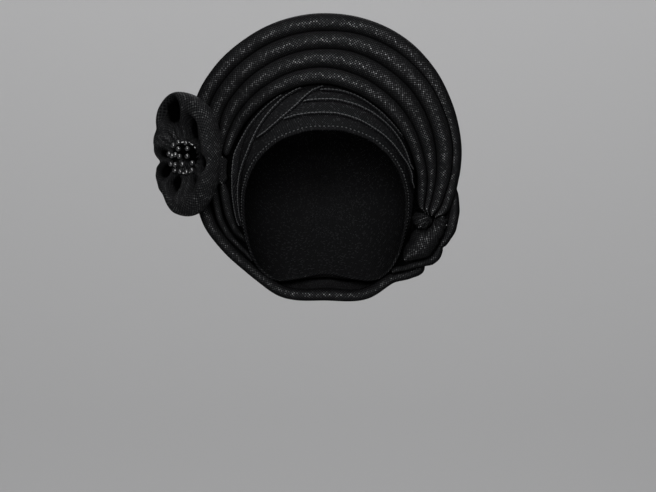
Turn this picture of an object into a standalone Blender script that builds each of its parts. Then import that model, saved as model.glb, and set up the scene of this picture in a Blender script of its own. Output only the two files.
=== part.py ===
# Tied gele head tie: padded rolls, crossed forehead pleats, a side knot and a beaded rosette
#
# The front is -Y and the origin is the middle of the hollow for the head. Every piece is described
# round the Y axis by an angle (0 is +X and 90 is the crown), a tilt over the head form (-90 is its
# front and 90 its back) and a lift off that form. Lengths are metres and angles are degrees.
import math
from bisect import bisect_right

import bmesh
import bpy
from mathutils import Vector

# Head form: the hollow that the cap leaves open
HEAD_HALF_WIDTH = 0.072
HEAD_HALF_DEPTH = 0.093
HEAD_HALF_HEIGHT = 0.085
NAPE_DROP = 0.108
SIDE_TAPER = 0.15
NAPE_CORNER = 6.0

# Cloth walls and clearances
CAP_WALL = 0.002
DRAPE_WALL = 0.002
PETAL_WALL = 0.0016
SEAT_GAP = 0.0004

# Forehead pleats
PLEAT_RISE = 0.0022
PLEAT_NOSE = 0.5
PLEAT_SPACING = 0.35
PLEAT_LEAST_WIDTH = 1.0
PLEAT_TUCK = 3.0
PLEAT_TUCK_GROWTH = 0.3

# Padded rolls
ROLL_RADIUS = 0.008
STACK_LEAN = 27.0
FIRST_ANGLE = -20.6
LAST_ANGLE = 168.4
HALO_LAST_ANGLE = 318.6
NOTCH_ANGLE = 355.0
END_ROUNDING = 3.0
END_RINGS = (0, 1.1, 2.4)

# Back drape
DRAPE_STAND_OFF = 0.012
DRAPE_TAUTNESS = 1.75
DRAPE_FOLDS = 10
DRAPE_FOLD_DEPTH = 0.003
DRAPE_TUCK = 0.3

# Rosette
ROSETTE_ANGLE = 171.5
ROSETTE_TURN = 40.0
ROSETTE_RADIUS = 0.052
ROSETTE_NECK = 0.0168
ROSETTE_DEPTH = 0.013
ROSETTE_EYE = 0.26
SCOOP_UNDERCUT = 0.3
NECK_RADIUS = 0.006
HEART_GAP = 0.0005
HEART_RISE = 0.0035
BEAD_RADIUS = 0.0023
BEAD_SPREAD = 1.115

# How finely the pieces are divided
CAP_DIVISIONS = (36, 8)
DRAPE_DIVISIONS = (46, 7)
ROLL_STEP = 6.6
ROLL_SIDES = 10
FOLD_SIDES = 8
LUMP_SIDES = 12
PLEAT_STEP = 5.0
ROSETTE_SIDES = 38
HEART_SIDES = 14
BEAD_DIVISIONS = (10, 5)


class Table:
    """Rows at rising angles, read between the rows along a smooth curve that never overshoots."""

    def __init__(self, columns, rows):
        self.columns = columns
        self.rows = rows
        self.places = [row[0] for row in rows]

    def first(self):
        return self.places[0]

    def last(self):
        return self.places[-1]

    def slope(self, values, index):
        if index in (0, len(values) - 1):
            return 0.0
        before = (values[index] - values[index - 1]) / (self.places[index] - self.places[index - 1])
        after = (values[index + 1] - values[index]) / (self.places[index + 1] - self.places[index])
        if before * after <= 0:
            return 0.0
        return 2 * before * after / (before + after)

    def at(self, place, column):
        values = [row[self.columns.index(column)] for row in self.rows]
        if place <= self.places[0]:
            return values[0]
        if place >= self.places[-1]:
            return values[-1]
        index = bisect_right(self.places, place) - 1
        span = self.places[index + 1] - self.places[index]
        part = (place - self.places[index]) / span
        start_slope = self.slope(values, index) * span
        end_slope = self.slope(values, index + 1) * span
        return (values[index] * (1 + 2 * part) * (1 - part) ** 2
                + start_slope * part * (1 - part) ** 2
                + values[index + 1] * part ** 2 * (3 - 2 * part)
                + end_slope * part ** 2 * (part - 1))


# The cap's rim: its tilt over the head form, by the angle away from the crown
RIM = Table(("from_crown", "tilt"), (
    (0, -64), (30, -60), (60, -48.5), (75, -40), (90, -30), (105, -16),
    (120, -3), (135, 9), (150, 26), (165, 38), (180, 42)))

# The stack of rolls: tilt of roll_1, padding under it and all radii as shares of ROLL_RADIUS
ARCH = Table(("angle", "tilt", "padding", "roll_1", "roll_2", "roll_3", "halo", "halo_lean"), (
    (-20.6, -1, 1.30, 0.17, 0.15, 0.20, 0.24, 32),
    (-18, -1, 0.62, 0.32, 0.26, 0.44, 0.48, 34),
    (-14, -2, 0.34, 0.44, 0.34, 0.58, 0.58, 37),
    (-8, -4, 0.20, 0.51, 0.40, 0.66, 0.66, 42),
    (0, -9.4, 0.10, 0.54, 0.51, 0.81, 0.75, 53),
    (15, -17.9, 0.00, 0.64, 0.76, 0.99, 0.82, 53),
    (30, -24, 0.00, 0.75, 0.94, 1.03, 0.88, 50),
    (45, -29.1, 0.00, 0.85, 1.09, 1.09, 0.91, 41),
    (60, -32.4, 0.00, 0.90, 1.15, 1.14, 0.92, 30),
    (75, -33.4, 0.00, 0.92, 1.18, 1.09, 0.94, 27),
    (90, -32.1, 0.00, 0.91, 1.07, 1.03, 1.00, 27),
    (105, -30.1, 0.00, 0.88, 1.01, 1.03, 0.98, 27),
    (120, -25.8, 0.00, 0.80, 0.96, 1.00, 0.93, 27),
    (135, -18.8, 0.00, 0.72, 0.88, 0.95, 0.90, 27),
    (150, -8.9, 0.10, 0.60, 0.72, 0.87, 0.86, 27),
    (160, -5, 0.30, 0.50, 0.42, 0.68, 0.84, 30),
    (168, -4, 0.50, 0.42, 0.26, 0.40, 0.85, 35)))

# Tubes that leave the stack: lift and radius as shares of ROLL_RADIUS
HALO_TAIL = Table(("angle", "tilt", "lift", "radius"), (
    (185, 4.1, 4.10, 0.76), (200, 6.4, 4.05, 0.68), (215, 12, 3.05, 0.62), (230, 19.5, 1.52, 0.58),
    (236, 25, 1.16, 0.60), (250, 31, 1.10, 0.62), (270, 32, 1.12, 0.66), (290, 30, 1.10, 0.62),
    (302, 24.5, 1.08, 0.54), (310, 17.5, 2.35, 0.58), (315, 15, 3.25, 0.60), (318.6, 13.5, 3.60, 0.50)))
DRAPE_BEHIND_KNOT = Table(("angle", "tilt", "lift", "radius"), (
    (324, 9.5, 4.10, 0.60), (336, 7.6, 4.60, 0.60), (346, 7.2, 4.65, 0.60)))
NAPE_FOLD_1 = Table(("angle", "tilt", "lift", "radius"), (
    (184.6, -1.6, 1.76, 0.34), (190, 0, 1.72, 0.50), (200, 3.8, 1.70, 0.48), (210, 9, 1.50, 0.36),
    (220, 20, 0.92, 0.34), (228, 29, 0.76, 0.34), (238, 37, 0.73, 0.34), (252, 41, 0.73, 0.35),
    (270, 44, 0.76, 0.36), (286, 41, 0.73, 0.34), (297, 38, 0.70, 0.28)))
NAPE_FOLD_2 = Table(("angle", "tilt", "lift", "radius"), (
    (186, -0.5, 2.66, 0.30), (192, 2, 2.74, 0.40), (200, 4.5, 2.76, 0.38), (210, 9.4, 2.43, 0.36),
    (220, 13.5, 1.50, 0.27), (226, 16.5, 0.90, 0.24), (229, 17.8, 0.72, 0.18)))
LOOP_LOWER = Table(("angle", "tilt", "lift", "radius"), (
    (305, 18.3, 0.46, 0.26), (308, 15.3, 0.82, 0.34), (311, 12.6, 1.50, 0.35), (315, 10, 2.38, 0.38),
    (318, 8.3, 3.13, 0.44), (321, 6.5, 3.88, 0.49), (325, 5.5, 4.36, 0.50), (327.6, 5.4, 4.44, 0.45),
    (328.7, 5.8, 4.46, 0.36)))
LOOP_OUTER = Table(("angle", "tilt", "lift", "radius"), (
    (-31.1, 6.6, 4.50, 0.38), (-29.9, 6.8, 4.65, 0.46), (-27, 7, 4.90, 0.50), (-22, 6.9, 5.20, 0.54),
    (-16, 7.3, 5.20, 0.53), (-10.5, 7.6, 5.00, 0.46), (-7.2, 7.9, 4.88, 0.36), (-5.4, 8.1, 4.82, 0.24)))

# Lumps of gathered cloth: lift, half height and half depth as shares of ROLL_RADIUS
LEFT_GATHER = Table(("angle", "tilt", "lift", "height", "depth"), (
    (169.2, -3, 1.86, 0.30, 0.30), (171, -3, 1.88, 0.70, 0.78), (174, -3, 1.88, 0.66, 0.72),
    (178, -3, 1.88, 0.68, 0.74), (181.5, -3, 1.88, 0.76, 0.84), (184.2, -3, 1.86, 0.34, 0.34)))
KNOT = Table(("angle", "tilt", "lift", "height", "depth"), (
    (-29, 0.2, 1.66, 0.36, 0.34), (-27.8, 0, 1.70, 0.80, 0.76), (-25.6, -0.2, 1.76, 1.02, 0.94),
    (-23.6, -0.4, 1.84, 1.06, 0.98), (-22, -0.8, 2.00, 0.92, 0.86), (-20.9, -1, 2.14, 0.48, 0.46)))
PUFF = Table(("angle", "tilt", "lift", "height", "depth"), (
    (-46.6, 8, 1.00, 0.25, 0.30), (-44.5, 6.8, 1.16, 0.60, 0.80), (-41, 4.3, 1.64, 1.06, 1.20),
    (-37, 3.2, 2.30, 1.40, 1.46), (-33.5, 2.6, 2.50, 1.50, 1.36), (-30.6, 2.4, 2.78, 1.46, 1.16),
    (-29.2, 2.4, 3.08, 1.16, 1.04), (-27.6, 2.6, 3.40, 0.94, 0.96), (-25, 2.8, 3.62, 0.86, 0.90),
    (-22.6, 3.4, 3.76, 0.78, 0.84), (-20.4, 4.7, 3.90, 0.60, 0.66), (-18.8, 5.2, 3.98, 0.34, 0.40)))

# The pleats' front edges: tilt by angle. Each runs from under roll_1 and back under it or a neighbour
PLEAT_EDGES = {
    "pleat_right_1": Table(("angle", "tilt"), (
        (-10, -1), (-7, -9), (-4, -16.5), (0, -19.3), (8, -25.6), (15, -31.9), (30, -40.6), (45, -47.2),
        (60, -51.4), (75, -54.1), (90, -54.9), (105, -53.3), (120, -49.2), (134, -44))),
    "pleat_right_2": Table(("angle", "tilt"), (
        (2, -9), (5, -17), (8, -21.7), (15, -24.6), (30, -30.7), (45, -36.7), (60, -41.4), (75, -44.4),
        (90, -45.4), (105, -43.9), (112, -41.5))),
    "pleat_right_3": Table(("angle", "tilt"), (
        (24, -20), (30, -25.6), (45, -31.8), (60, -35), (75, -36.6), (87, -37.4), (96, -37))),
    "pleat_left_1": Table(("angle", "tilt"), (
        (86, -26), (91, -33.9), (98, -37), (105, -40.8), (113, -44.1), (120, -44.8), (130, -44.3),
        (140, -41.9), (145, -39.6), (150, -35.8), (154, -32))),
    "pleat_left_2": Table(("angle", "tilt"), (
        (100, -25), (105, -31.4), (118, -31.9), (125, -32.5), (135, -32.4), (150, -31.6), (160, -30.3),
        (170, -26.6), (180, -21.5), (190, -13), (200, -5), (210, 3))),
    "pleat_left_3": Table(("angle", "tilt"), (
        (114, -22), (118, -27.4), (130, -25), (150, -18.6), (165, -15.8), (180, -14.7), (190, -8),
        (200, -1), (212, 8))),
}
PLEATS_ABOVE = {
    "pleat_right_1": ("pleat_right_2", "pleat_left_1"),
    "pleat_right_2": ("pleat_right_3", "pleat_left_1"),
    "pleat_right_3": ("pleat_left_1",),
    "pleat_left_1": ("pleat_left_2",),
    "pleat_left_2": ("pleat_left_3",),
    "pleat_left_3": (),
}

# The rosette's outline: reach of its rim and height of its ruffles as shares of ROSETTE_RADIUS and
# ROSETTE_DEPTH, by the angle in its plane
ROSETTE_RIM = Table(("angle", "reach", "height"), (
    (0, 0.75, 1.00), (20, 0.79, 1.00), (45, 0.90, 1.00), (66, 0.99, 1.00), (84, 1.04, 0.95),
    (98, 1.06, 0.85), (116, 0.98, 0.75), (138, 0.72, 0.60), (158, 0.64, 0.50), (174, 0.58, 0.45),
    (188, 0.46, 0.45), (199, 0.57, 0.50), (222, 0.67, 0.60), (244, 0.74, 0.75), (262, 0.91, 0.85),
    (285, 0.96, 0.95), (305, 0.88, 1.00), (330, 0.79, 1.00), (345, 0.75, 1.00), (360, 0.75, 1.00)))
# Its scoops between the ruffles: where they lie, how wide in degrees, how long and how deep as shares
ROSETTE_SCOOPS = (
    {"angle": 59, "reach": 0.36, "width": 17, "span": 0.24, "depth": 1.15},
    {"angle": 104, "reach": 0.64, "width": 15, "span": 0.26, "depth": 1.00},
    {"angle": 172, "reach": 0.42, "width": 11, "span": 0.30, "depth": 0.80},
    {"angle": 209, "reach": 0.46, "width": 15, "span": 0.32, "depth": 1.00},
    {"angle": 249, "reach": 0.32, "width": 14, "span": 0.24, "depth": 1.00},
    {"angle": 305, "reach": 0.32, "width": 10, "span": 0.22, "depth": 0.70},
    {"angle": 348, "reach": 0.48, "width": 13, "span": 0.24, "depth": 1.15},
)
# Its section from the eye over the rim to the back: reach as a share of the rim, height of its depth
ROSETTE_SECTION = (
    {"reach": 0.00, "height": -0.10},
    {"reach": 0.22, "height": 0.18},
    {"reach": 0.46, "height": 0.62},
    {"reach": 0.70, "height": 0.92},
    {"reach": 0.88, "height": 0.80},
    {"reach": 1.00, "height": 0.20},
    {"reach": 0.95, "height": -0.38},
    {"reach": 0.74, "height": -0.62},
)
# The beads, across and up from the middle as shares of BEAD_SPREAD, as they are sewn on by eye
BEADS = (
    {"across": -0.62, "up": 0.70}, {"across": -0.23, "up": 0.86}, {"across": 0.35, "up": 0.82},
    {"across": -0.10, "up": 0.49}, {"across": 0.52, "up": 0.50}, {"across": -0.95, "up": 0.21},
    {"across": -0.62, "up": 0.10}, {"across": -0.28, "up": 0.16}, {"across": 0.05, "up": 0.06},
    {"across": 0.56, "up": 0.06}, {"across": -0.80, "up": -0.38}, {"across": -0.35, "up": -0.41},
    {"across": 0.22, "up": -0.39}, {"across": 0.82, "up": -0.32}, {"across": -0.50, "up": -0.74},
    {"across": -0.06, "up": -0.81}, {"across": 0.38, "up": -0.84}, {"across": 0.80, "up": -0.74},
)

# Colours from the cloth and the beads
WOVEN_BLACK = {"name": "woven_black", "colour": (0.016, 0.016, 0.018, 1), "roughness": 0.72}
CAP_BLACK = {"name": "cap_black", "colour": (0.020, 0.020, 0.022, 1), "roughness": 0.85}
BEAD_BLACK = {"name": "bead_black", "colour": (0.008, 0.008, 0.010, 1), "roughness": 0.12}


def sine(degrees):
    return math.sin(math.radians(degrees))


def cosine(degrees):
    return math.cos(math.radians(degrees))


def steps(first, last, step):
    """Evenly spaced values from first to last, at most one step apart."""
    count = max(2, math.ceil((last - first) / step))
    return [first + (last - first) * index / count for index in range(count + 1)]


def head_outline(angle):
    """Reach of the head form from the Y axis: an ellipse above, tapering sides and a nape below."""
    across = abs(cosine(angle))
    up = sine(angle)
    if up >= 0:
        return 1 / math.hypot(across / HEAD_HALF_WIDTH, up / HEAD_HALF_HEIGHT)
    side = (across - SIDE_TAPER * up) / HEAD_HALF_WIDTH
    nape = -up / NAPE_DROP
    return (side ** NAPE_CORNER + nape ** NAPE_CORNER) ** (-1 / NAPE_CORNER)


def lifted(angle, tilt, lift):
    """Reach from the Y axis and depth along it of a point over the head form."""
    return (head_outline(angle) + lift) * cosine(tilt), (HEAD_HALF_DEPTH + lift) * sine(tilt)


def place(angle, reach, depth):
    return Vector((reach * cosine(angle), depth, reach * sine(angle)))


def rim_tilt(angle):
    from_crown = abs((angle - 90 + 180) % 360 - 180)
    return RIM.at(from_crown, "tilt")


def section_ring(angle, reach, depth, height, thickness, sides):
    """An ellipse in the half-plane at an angle, as a ring of points."""
    turns = [360 * side / sides for side in range(sides)]
    return [place(angle, reach + height * cosine(turn), depth + thickness * sine(turn)) for turn in turns]


def new_material(finish):
    material = bpy.data.materials.get(finish["name"])
    if material:
        return material
    material = bpy.data.materials.new(finish["name"])
    material.use_nodes = True
    shader = material.node_tree.nodes["Principled BSDF"]
    shader.inputs["Base Color"].default_value = finish["colour"]
    shader.inputs["Roughness"].default_value = finish["roughness"]
    shader.inputs["Metallic"].default_value = 0.0
    return material


def add_object(name, mesh, finish):
    piece = bpy.data.objects.new(name, mesh)
    bpy.data.collections[COLLECTION].objects.link(piece)
    piece.data.materials.append(new_material(finish))
    mesh.shade_smooth()
    return piece


def loft(name, rings, finish):
    """Joins rings of points into one closed solid with flat ends."""
    shape = bmesh.new()
    rows = [[shape.verts.new(point) for point in ring] for ring in rings]
    count = len(rows[0])
    for row, following in zip(rows, rows[1:]):
        for index in range(count):
            other = (index + 1) % count
            shape.faces.new((row[index], row[other], following[other], following[index]))
    shape.faces.new(rows[0])
    shape.faces.new(list(reversed(rows[-1])))
    bmesh.ops.recalc_face_normals(shape, faces=shape.faces)
    mesh = bpy.data.meshes.new(name)
    shape.to_mesh(mesh)
    shape.free()
    return add_object(name, mesh, finish)


def rounded(place_now, first, last):
    """Share of its radius that a tube keeps near its rounded ends."""
    near = min(place_now - first, last - place_now) / END_ROUNDING
    if near >= 1:
        return 1.0
    return max(0.35, math.sqrt(1 - (1 - near) ** 2))


def shell(name, rows, finish, wall):
    """A closed wall from a sheet: rows run round the head, the last one closed by a fan of faces."""
    shape = bmesh.new()
    lines = [[shape.verts.new(point) for point in row] for row in rows]
    count = len(lines[0])
    for line, following in zip(lines, lines[1:]):
        for index in range(count):
            other = (index + 1) % count
            shape.faces.new((line[index], line[other], following[other], following[index]))
    shape.faces.new(list(reversed(lines[-1])))
    bmesh.ops.recalc_face_normals(shape, faces=shape.faces)
    mesh = bpy.data.meshes.new(name)
    shape.to_mesh(mesh)
    shape.free()
    piece = add_object(name, mesh, finish)
    solidify = piece.modifiers.new("wall", "SOLIDIFY")
    solidify.thickness = wall
    solidify.offset = 1
    solidify.use_even_offset = True
    solidify.use_rim = True
    return piece


def arch_stack(angle):
    """Reach, depth and radius of roll_1, roll_2, roll_3 and the halo roll, each resting on the last."""
    radii = [ARCH.at(angle, column) * ROLL_RADIUS for column in ("roll_1", "roll_2", "roll_3", "halo")]
    seat = CAP_WALL + PLEAT_RISE + 2 * SEAT_GAP + ARCH.at(angle, "padding") * ROLL_RADIUS
    reach, depth = lifted(angle, ARCH.at(angle, "tilt"), seat + radii[0])
    stack = [(reach, depth, radii[0])]
    leans = (STACK_LEAN, STACK_LEAN, ARCH.at(angle, "halo_lean"))
    for lean, below, radius in zip(leans, radii, radii[1:]):
        pitch = below + radius + SEAT_GAP
        reach += pitch * cosine(lean)
        depth += pitch * sine(lean)
        stack.append((reach, depth, radius))
    return stack


def on_form(table, angle):
    """Reach, depth and radius of a tube whose table gives its tilt, lift and radius."""
    reach, depth = lifted(angle, table.at(angle, "tilt"), table.at(angle, "lift") * ROLL_RADIUS)
    return reach, depth, table.at(angle, "radius") * ROLL_RADIUS


def halo_track():
    """The halo roll's course round the whole head, past the notch as the back drape's edge has it."""
    rows = []
    for angle in (0, 15, 30, 45, 60, 75, 90, 105, 120, 135, 150, 160, 168):
        rows.append((angle, *arch_stack(angle)[3]))
    for table in (HALO_TAIL, DRAPE_BEHIND_KNOT):
        for angle in table.places:
            rows.append((angle, *on_form(table, angle)))
    rows.append((NOTCH_ANGLE, *arch_stack(NOTCH_ANGLE - 360)[3]))
    rows.append((360, *rows[0][1:]))
    return Table(("angle", "reach", "depth", "radius"), tuple(rows))


def halo_section(track, angle):
    if angle <= ARCH.last():
        return arch_stack(angle)[3]
    return tuple(track.at(angle, column) for column in ("reach", "depth", "radius"))


def build_cap():
    around, along = CAP_DIVISIONS
    rows = []
    for step in range(along + 1):
        share = step / (along + 0.5)
        row = []
        for side in range(around):
            angle = 360 * side / around
            tilt = rim_tilt(angle) + (90 - rim_tilt(angle)) * share
            row.append(place(angle, *lifted(angle, tilt, 0)))
        rows.append(row)
    shell("base_cap", rows, CAP_BLACK, CAP_WALL)


def rear_tilt(angle):
    """How far back a pleat can reach: under roll_1, and further round the side past the gather."""
    past = max(0, angle - ARCH.last())
    return ARCH.at(angle, "tilt") + PLEAT_TUCK + PLEAT_TUCK_GROWTH * past


def pleat_span(name, angle):
    """Front and back tilt of a pleat at an angle; the back stops short of the next pleat's edge."""
    front = PLEAT_EDGES[name].at(angle, "tilt")
    back = rear_tilt(angle)
    for other in PLEATS_ABOVE[name]:
        edge = PLEAT_EDGES[other]
        if edge.first() <= angle <= edge.last():
            back = min(back, edge.at(angle, "tilt") - PLEAT_NOSE - PLEAT_SPACING)
    return front, back


def pleat_rise(name, angle):
    """A pleat is as high as the room under roll_1 leaves it, where it lies over others."""
    if name != "pleat_left_3":
        return PLEAT_RISE
    return PLEAT_RISE + ARCH.at(angle, "padding") * ROLL_RADIUS - SEAT_GAP


def pleat_ring(angle, front, back, rise):
    """A pleat's section: flat on the cap, with a rolled front edge and a thin back."""
    low = CAP_WALL + SEAT_GAP
    third = (back - front) / 3
    corners = (
        (front, low),
        (front - PLEAT_NOSE, low + 0.5 * rise),
        (front + 0.3, low + rise),
        (front + 0.35 * (back - front), low + 0.72 * rise),
        (back, low + 0.5 * rise),
        (back, low),
        (back - third, low),
        (front + third, low),
    )
    return [place(angle, *lifted(angle, tilt, lift)) for tilt, lift in corners]


def build_pleat(name):
    edge = PLEAT_EDGES[name]
    angles = []
    first = math.ceil(edge.first() / PLEAT_STEP)
    last = math.floor(edge.last() / PLEAT_STEP)
    for angle in (PLEAT_STEP * index for index in range(first, last + 1)):
        front, back = pleat_span(name, angle)
        if back - front >= PLEAT_LEAST_WIDTH:
            angles.append(angle)
    rings = []
    for angle in angles:
        front, back = pleat_span(name, angle)
        ease = rounded(angle, angles[0], angles[-1])
        rings.append(pleat_ring(angle, front, back, pleat_rise(name, angle) * ease))
    loft(name, rings, CAP_BLACK)


def roll_angles(last):
    """Where a roll's rings lie: closer together over its drawn-in ends."""
    inner = steps(FIRST_ANGLE + END_ROUNDING, last - END_ROUNDING, ROLL_STEP)
    return [FIRST_ANGLE + ring for ring in END_RINGS] + inner + [last - ring for ring in reversed(END_RINGS)]


def build_rolls():
    for index, name in enumerate(("roll_1", "roll_2", "roll_3")):
        rings = []
        for angle in roll_angles(LAST_ANGLE):
            reach, depth, radius = arch_stack(angle)[index]
            radius *= rounded(angle, FIRST_ANGLE, LAST_ANGLE)
            rings.append(section_ring(angle, reach, depth, radius, radius, ROLL_SIDES))
        loft(name, rings, WOVEN_BLACK)


def build_halo(track):
    rings = []
    for angle in roll_angles(HALO_LAST_ANGLE):
        reach, depth, radius = halo_section(track, angle)
        radius *= rounded(angle, FIRST_ANGLE, HALO_LAST_ANGLE)
        rings.append(section_ring(angle, reach, depth, radius, radius, ROLL_SIDES))
    loft("halo_roll", rings, WOVEN_BLACK)


def build_fold(name, table):
    rings = []
    for angle in steps(table.first(), table.last(), ROLL_STEP * 0.75):
        reach, depth, radius = on_form(table, angle)
        rings.append(section_ring(angle, reach, depth, radius, radius, FOLD_SIDES))
    loft(name, rings, WOVEN_BLACK)


def build_lump(name, table):
    rings = []
    for angle in table.places:
        lift = table.at(angle, "lift") * ROLL_RADIUS
        reach, depth = lifted(angle, table.at(angle, "tilt"), lift)
        height = table.at(angle, "height") * ROLL_RADIUS
        thickness = table.at(angle, "depth") * ROLL_RADIUS
        rings.append(section_ring(angle, reach, depth, height, thickness, LUMP_SIDES))
    loft(name, rings, WOVEN_BLACK)


def drape_point(track, angle, share):
    """A point of the drape: from behind the halo to the back of the head, with low radial folds."""
    reach, depth, radius = (track.at(angle, column) for column in ("reach", "depth", "radius"))
    stand_off = radius + 2 * SEAT_GAP
    edge_reach = reach - DRAPE_TUCK * stand_off
    edge_depth = depth + stand_off
    back_depth = HEAD_HALF_DEPTH + CAP_WALL + DRAPE_STAND_OFF
    turn = 90 * share
    power = 2 / DRAPE_TAUTNESS
    fold = DRAPE_FOLD_DEPTH * sine(180 * share) * cosine(DRAPE_FOLDS * angle)
    point_reach = edge_reach * cosine(turn) ** power + fold
    point_depth = edge_depth + (back_depth - edge_depth) * sine(turn) ** power
    return place(angle, point_reach, point_depth)


def build_drape(track):
    around, along = DRAPE_DIVISIONS
    rows = []
    for step in range(along + 1):
        share = step / (along + 0.4)
        rows.append([drape_point(track, 360 * side / around, share) for side in range(around)])
    shell("back_drape", rows, WOVEN_BLACK, DRAPE_WALL)


def rosette_frame():
    """The rosette's middle and its axes: across, up, and out along the neck from the halo roll."""
    reach, depth, radius = halo_section(HALO, ROSETTE_ANGLE)
    out = Vector((-sine(ROSETTE_TURN), -cosine(ROSETTE_TURN), 0))
    across = Vector((cosine(ROSETTE_TURN), -sine(ROSETTE_TURN), 0))
    up = Vector((0, 0, 1))
    seat = place(ROSETTE_ANGLE, reach, depth) + out * (radius + SEAT_GAP)
    return seat + out * ROSETTE_NECK, across, up, out


def scoop_depth(angle, share):
    """How far the scoops between the ruffles draw the cloth in."""
    depth = 0.0
    for scoop in ROSETTE_SCOOPS:
        apart = abs((angle - scoop["angle"] + 180) % 360 - 180) / scoop["width"]
        along = (share - scoop["reach"]) / scoop["span"]
        depth += scoop["depth"] * math.exp(-apart ** 2 - along ** 2)
    return depth


def build_rosette(frame):
    middle, across, up, out = frame
    shape = bmesh.new()
    lines = []
    for section in ROSETTE_SECTION:
        line = []
        for side in range(ROSETTE_SIDES):
            angle = 360 * side / ROSETTE_SIDES
            rim = ROSETTE_RIM.at(angle, "reach") * ROSETTE_RADIUS
            eye = ROSETTE_EYE * ROSETTE_RADIUS
            reach = eye + (rim - eye) * section["reach"]
            height = section["height"]
            if height > 0:
                height -= scoop_depth(angle, section["reach"]) * (height + SCOOP_UNDERCUT)
            height *= ROSETTE_RIM.at(angle, "height") * ROSETTE_DEPTH
            direction = across * cosine(angle) + up * sine(angle)
            line.append(shape.verts.new(middle + direction * reach + out * height))
        lines.append(line)
    for line, following in zip(lines, lines[1:]):
        for side in range(ROSETTE_SIDES):
            other = (side + 1) % ROSETTE_SIDES
            shape.faces.new((line[side], following[side], following[other], line[other]))
    mesh = bpy.data.meshes.new("rosette")
    shape.to_mesh(mesh)
    shape.free()
    piece = add_object("rosette", mesh, WOVEN_BLACK)
    solidify = piece.modifiers.new("wall", "SOLIDIFY")
    solidify.thickness = PETAL_WALL
    solidify.offset = -1
    solidify.use_rim = True


def heart_radius():
    """The heart fills the rosette's eye."""
    return ROSETTE_EYE * ROSETTE_RADIUS - HEART_GAP


def heart_height(reach):
    """Height of the heart's crown over the rosette's middle."""
    return HEART_RISE * (1 - (reach / heart_radius()) ** 2)


def build_heart(frame):
    middle, across, up, out = frame
    crown = heart_radius()
    profile = (
        (NECK_RADIUS * 0.8, -ROSETTE_NECK),
        (NECK_RADIUS, -ROSETTE_NECK + NECK_RADIUS * 0.3),
        (NECK_RADIUS, -ROSETTE_DEPTH * 0.45),
        (crown, -ROSETTE_DEPTH * 0.16),
        (crown * 0.96, heart_height(crown * 0.96)),
        (crown * 0.5, heart_height(crown * 0.5)),
    )
    rings = []
    for reach, height in profile:
        turns = [360 * side / HEART_SIDES for side in range(HEART_SIDES)]
        rings.append([middle + (across * cosine(turn) + up * sine(turn)) * reach + out * height
                      for turn in turns])
    loft("rosette_heart", rings, WOVEN_BLACK)


def build_beads(frame):
    middle, across, up, out = frame
    segments, rings = BEAD_DIVISIONS
    mesh = bpy.data.meshes.new("bead")
    shape = bmesh.new()
    bmesh.ops.create_uvsphere(shape, u_segments=segments, v_segments=rings, radius=BEAD_RADIUS)
    shape.to_mesh(mesh)
    shape.free()
    for number, bead in enumerate(BEADS, start=1):
        offset = (across * bead["across"] + up * bead["up"]) * BEAD_SPREAD * heart_radius()
        height = heart_height(min(offset.length, heart_radius())) + BEAD_RADIUS + SEAT_GAP
        piece = add_object(f"bead_{number:02d}", mesh.copy(), BEAD_BLACK)
        piece.location = middle + offset + out * height
    bpy.data.meshes.remove(mesh)


def clear_scene():
    for thing in list(bpy.data.objects):
        bpy.data.objects.remove(thing, do_unlink=True)


COLLECTION = "gele_head_tie"
HALO = halo_track()


def main():
    clear_scene()
    bpy.context.scene.collection.children.link(bpy.data.collections.new(COLLECTION))
    build_cap()
    for name in PLEAT_EDGES:
        build_pleat(name)
    build_rolls()
    build_halo(HALO)
    build_fold("nape_fold_1", NAPE_FOLD_1)
    build_fold("nape_fold_2", NAPE_FOLD_2)
    build_fold("loop_lower", LOOP_LOWER)
    build_fold("loop_outer", LOOP_OUTER)
    build_lump("left_gather", LEFT_GATHER)
    build_lump("knot", KNOT)
    build_lump("puff", PUFF)
    build_drape(HALO)
    frame = rosette_frame()
    build_rosette(frame)
    build_heart(frame)
    build_beads(frame)


main()
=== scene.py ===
# The looks of the tied head tie: woven cloth, stitched pleats, glossy beads and soft studio light
#
# Lengths are metres and angles are degrees. Pieces are described round the Y axis by an angle (0 is +X
# and 90 is the crown), a tilt over the head form (-90 is its front and 90 its back) and a lift off it.
import math
from bisect import bisect_right

import bmesh
import bpy
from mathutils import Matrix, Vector, noise


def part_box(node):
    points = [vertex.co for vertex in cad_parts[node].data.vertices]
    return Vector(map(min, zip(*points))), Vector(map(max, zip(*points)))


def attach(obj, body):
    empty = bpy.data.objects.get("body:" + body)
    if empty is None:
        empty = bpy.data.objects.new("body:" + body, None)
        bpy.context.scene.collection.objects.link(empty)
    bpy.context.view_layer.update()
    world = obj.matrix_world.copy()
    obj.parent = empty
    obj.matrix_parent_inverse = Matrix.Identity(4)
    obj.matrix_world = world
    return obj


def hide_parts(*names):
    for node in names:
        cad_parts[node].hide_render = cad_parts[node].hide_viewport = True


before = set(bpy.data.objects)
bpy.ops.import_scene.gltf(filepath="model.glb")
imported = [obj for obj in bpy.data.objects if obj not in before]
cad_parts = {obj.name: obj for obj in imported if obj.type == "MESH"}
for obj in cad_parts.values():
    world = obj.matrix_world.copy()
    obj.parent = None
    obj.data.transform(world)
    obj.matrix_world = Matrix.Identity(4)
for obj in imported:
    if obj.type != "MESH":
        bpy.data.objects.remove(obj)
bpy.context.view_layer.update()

# Head form: the hollow that the cap leaves open
HEAD_HALF_WIDTH = 0.072
HEAD_HALF_DEPTH = 0.093
HEAD_HALF_HEIGHT = 0.085
NAPE_DROP = 0.108
SIDE_TAPER = 0.15
NAPE_CORNER = 6.0

# Cloth walls and clearances
CAP_WALL = 0.002
DRAPE_WALL = 0.002
PETAL_WALL = 0.0016
SEAT_GAP = 0.0004

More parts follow.
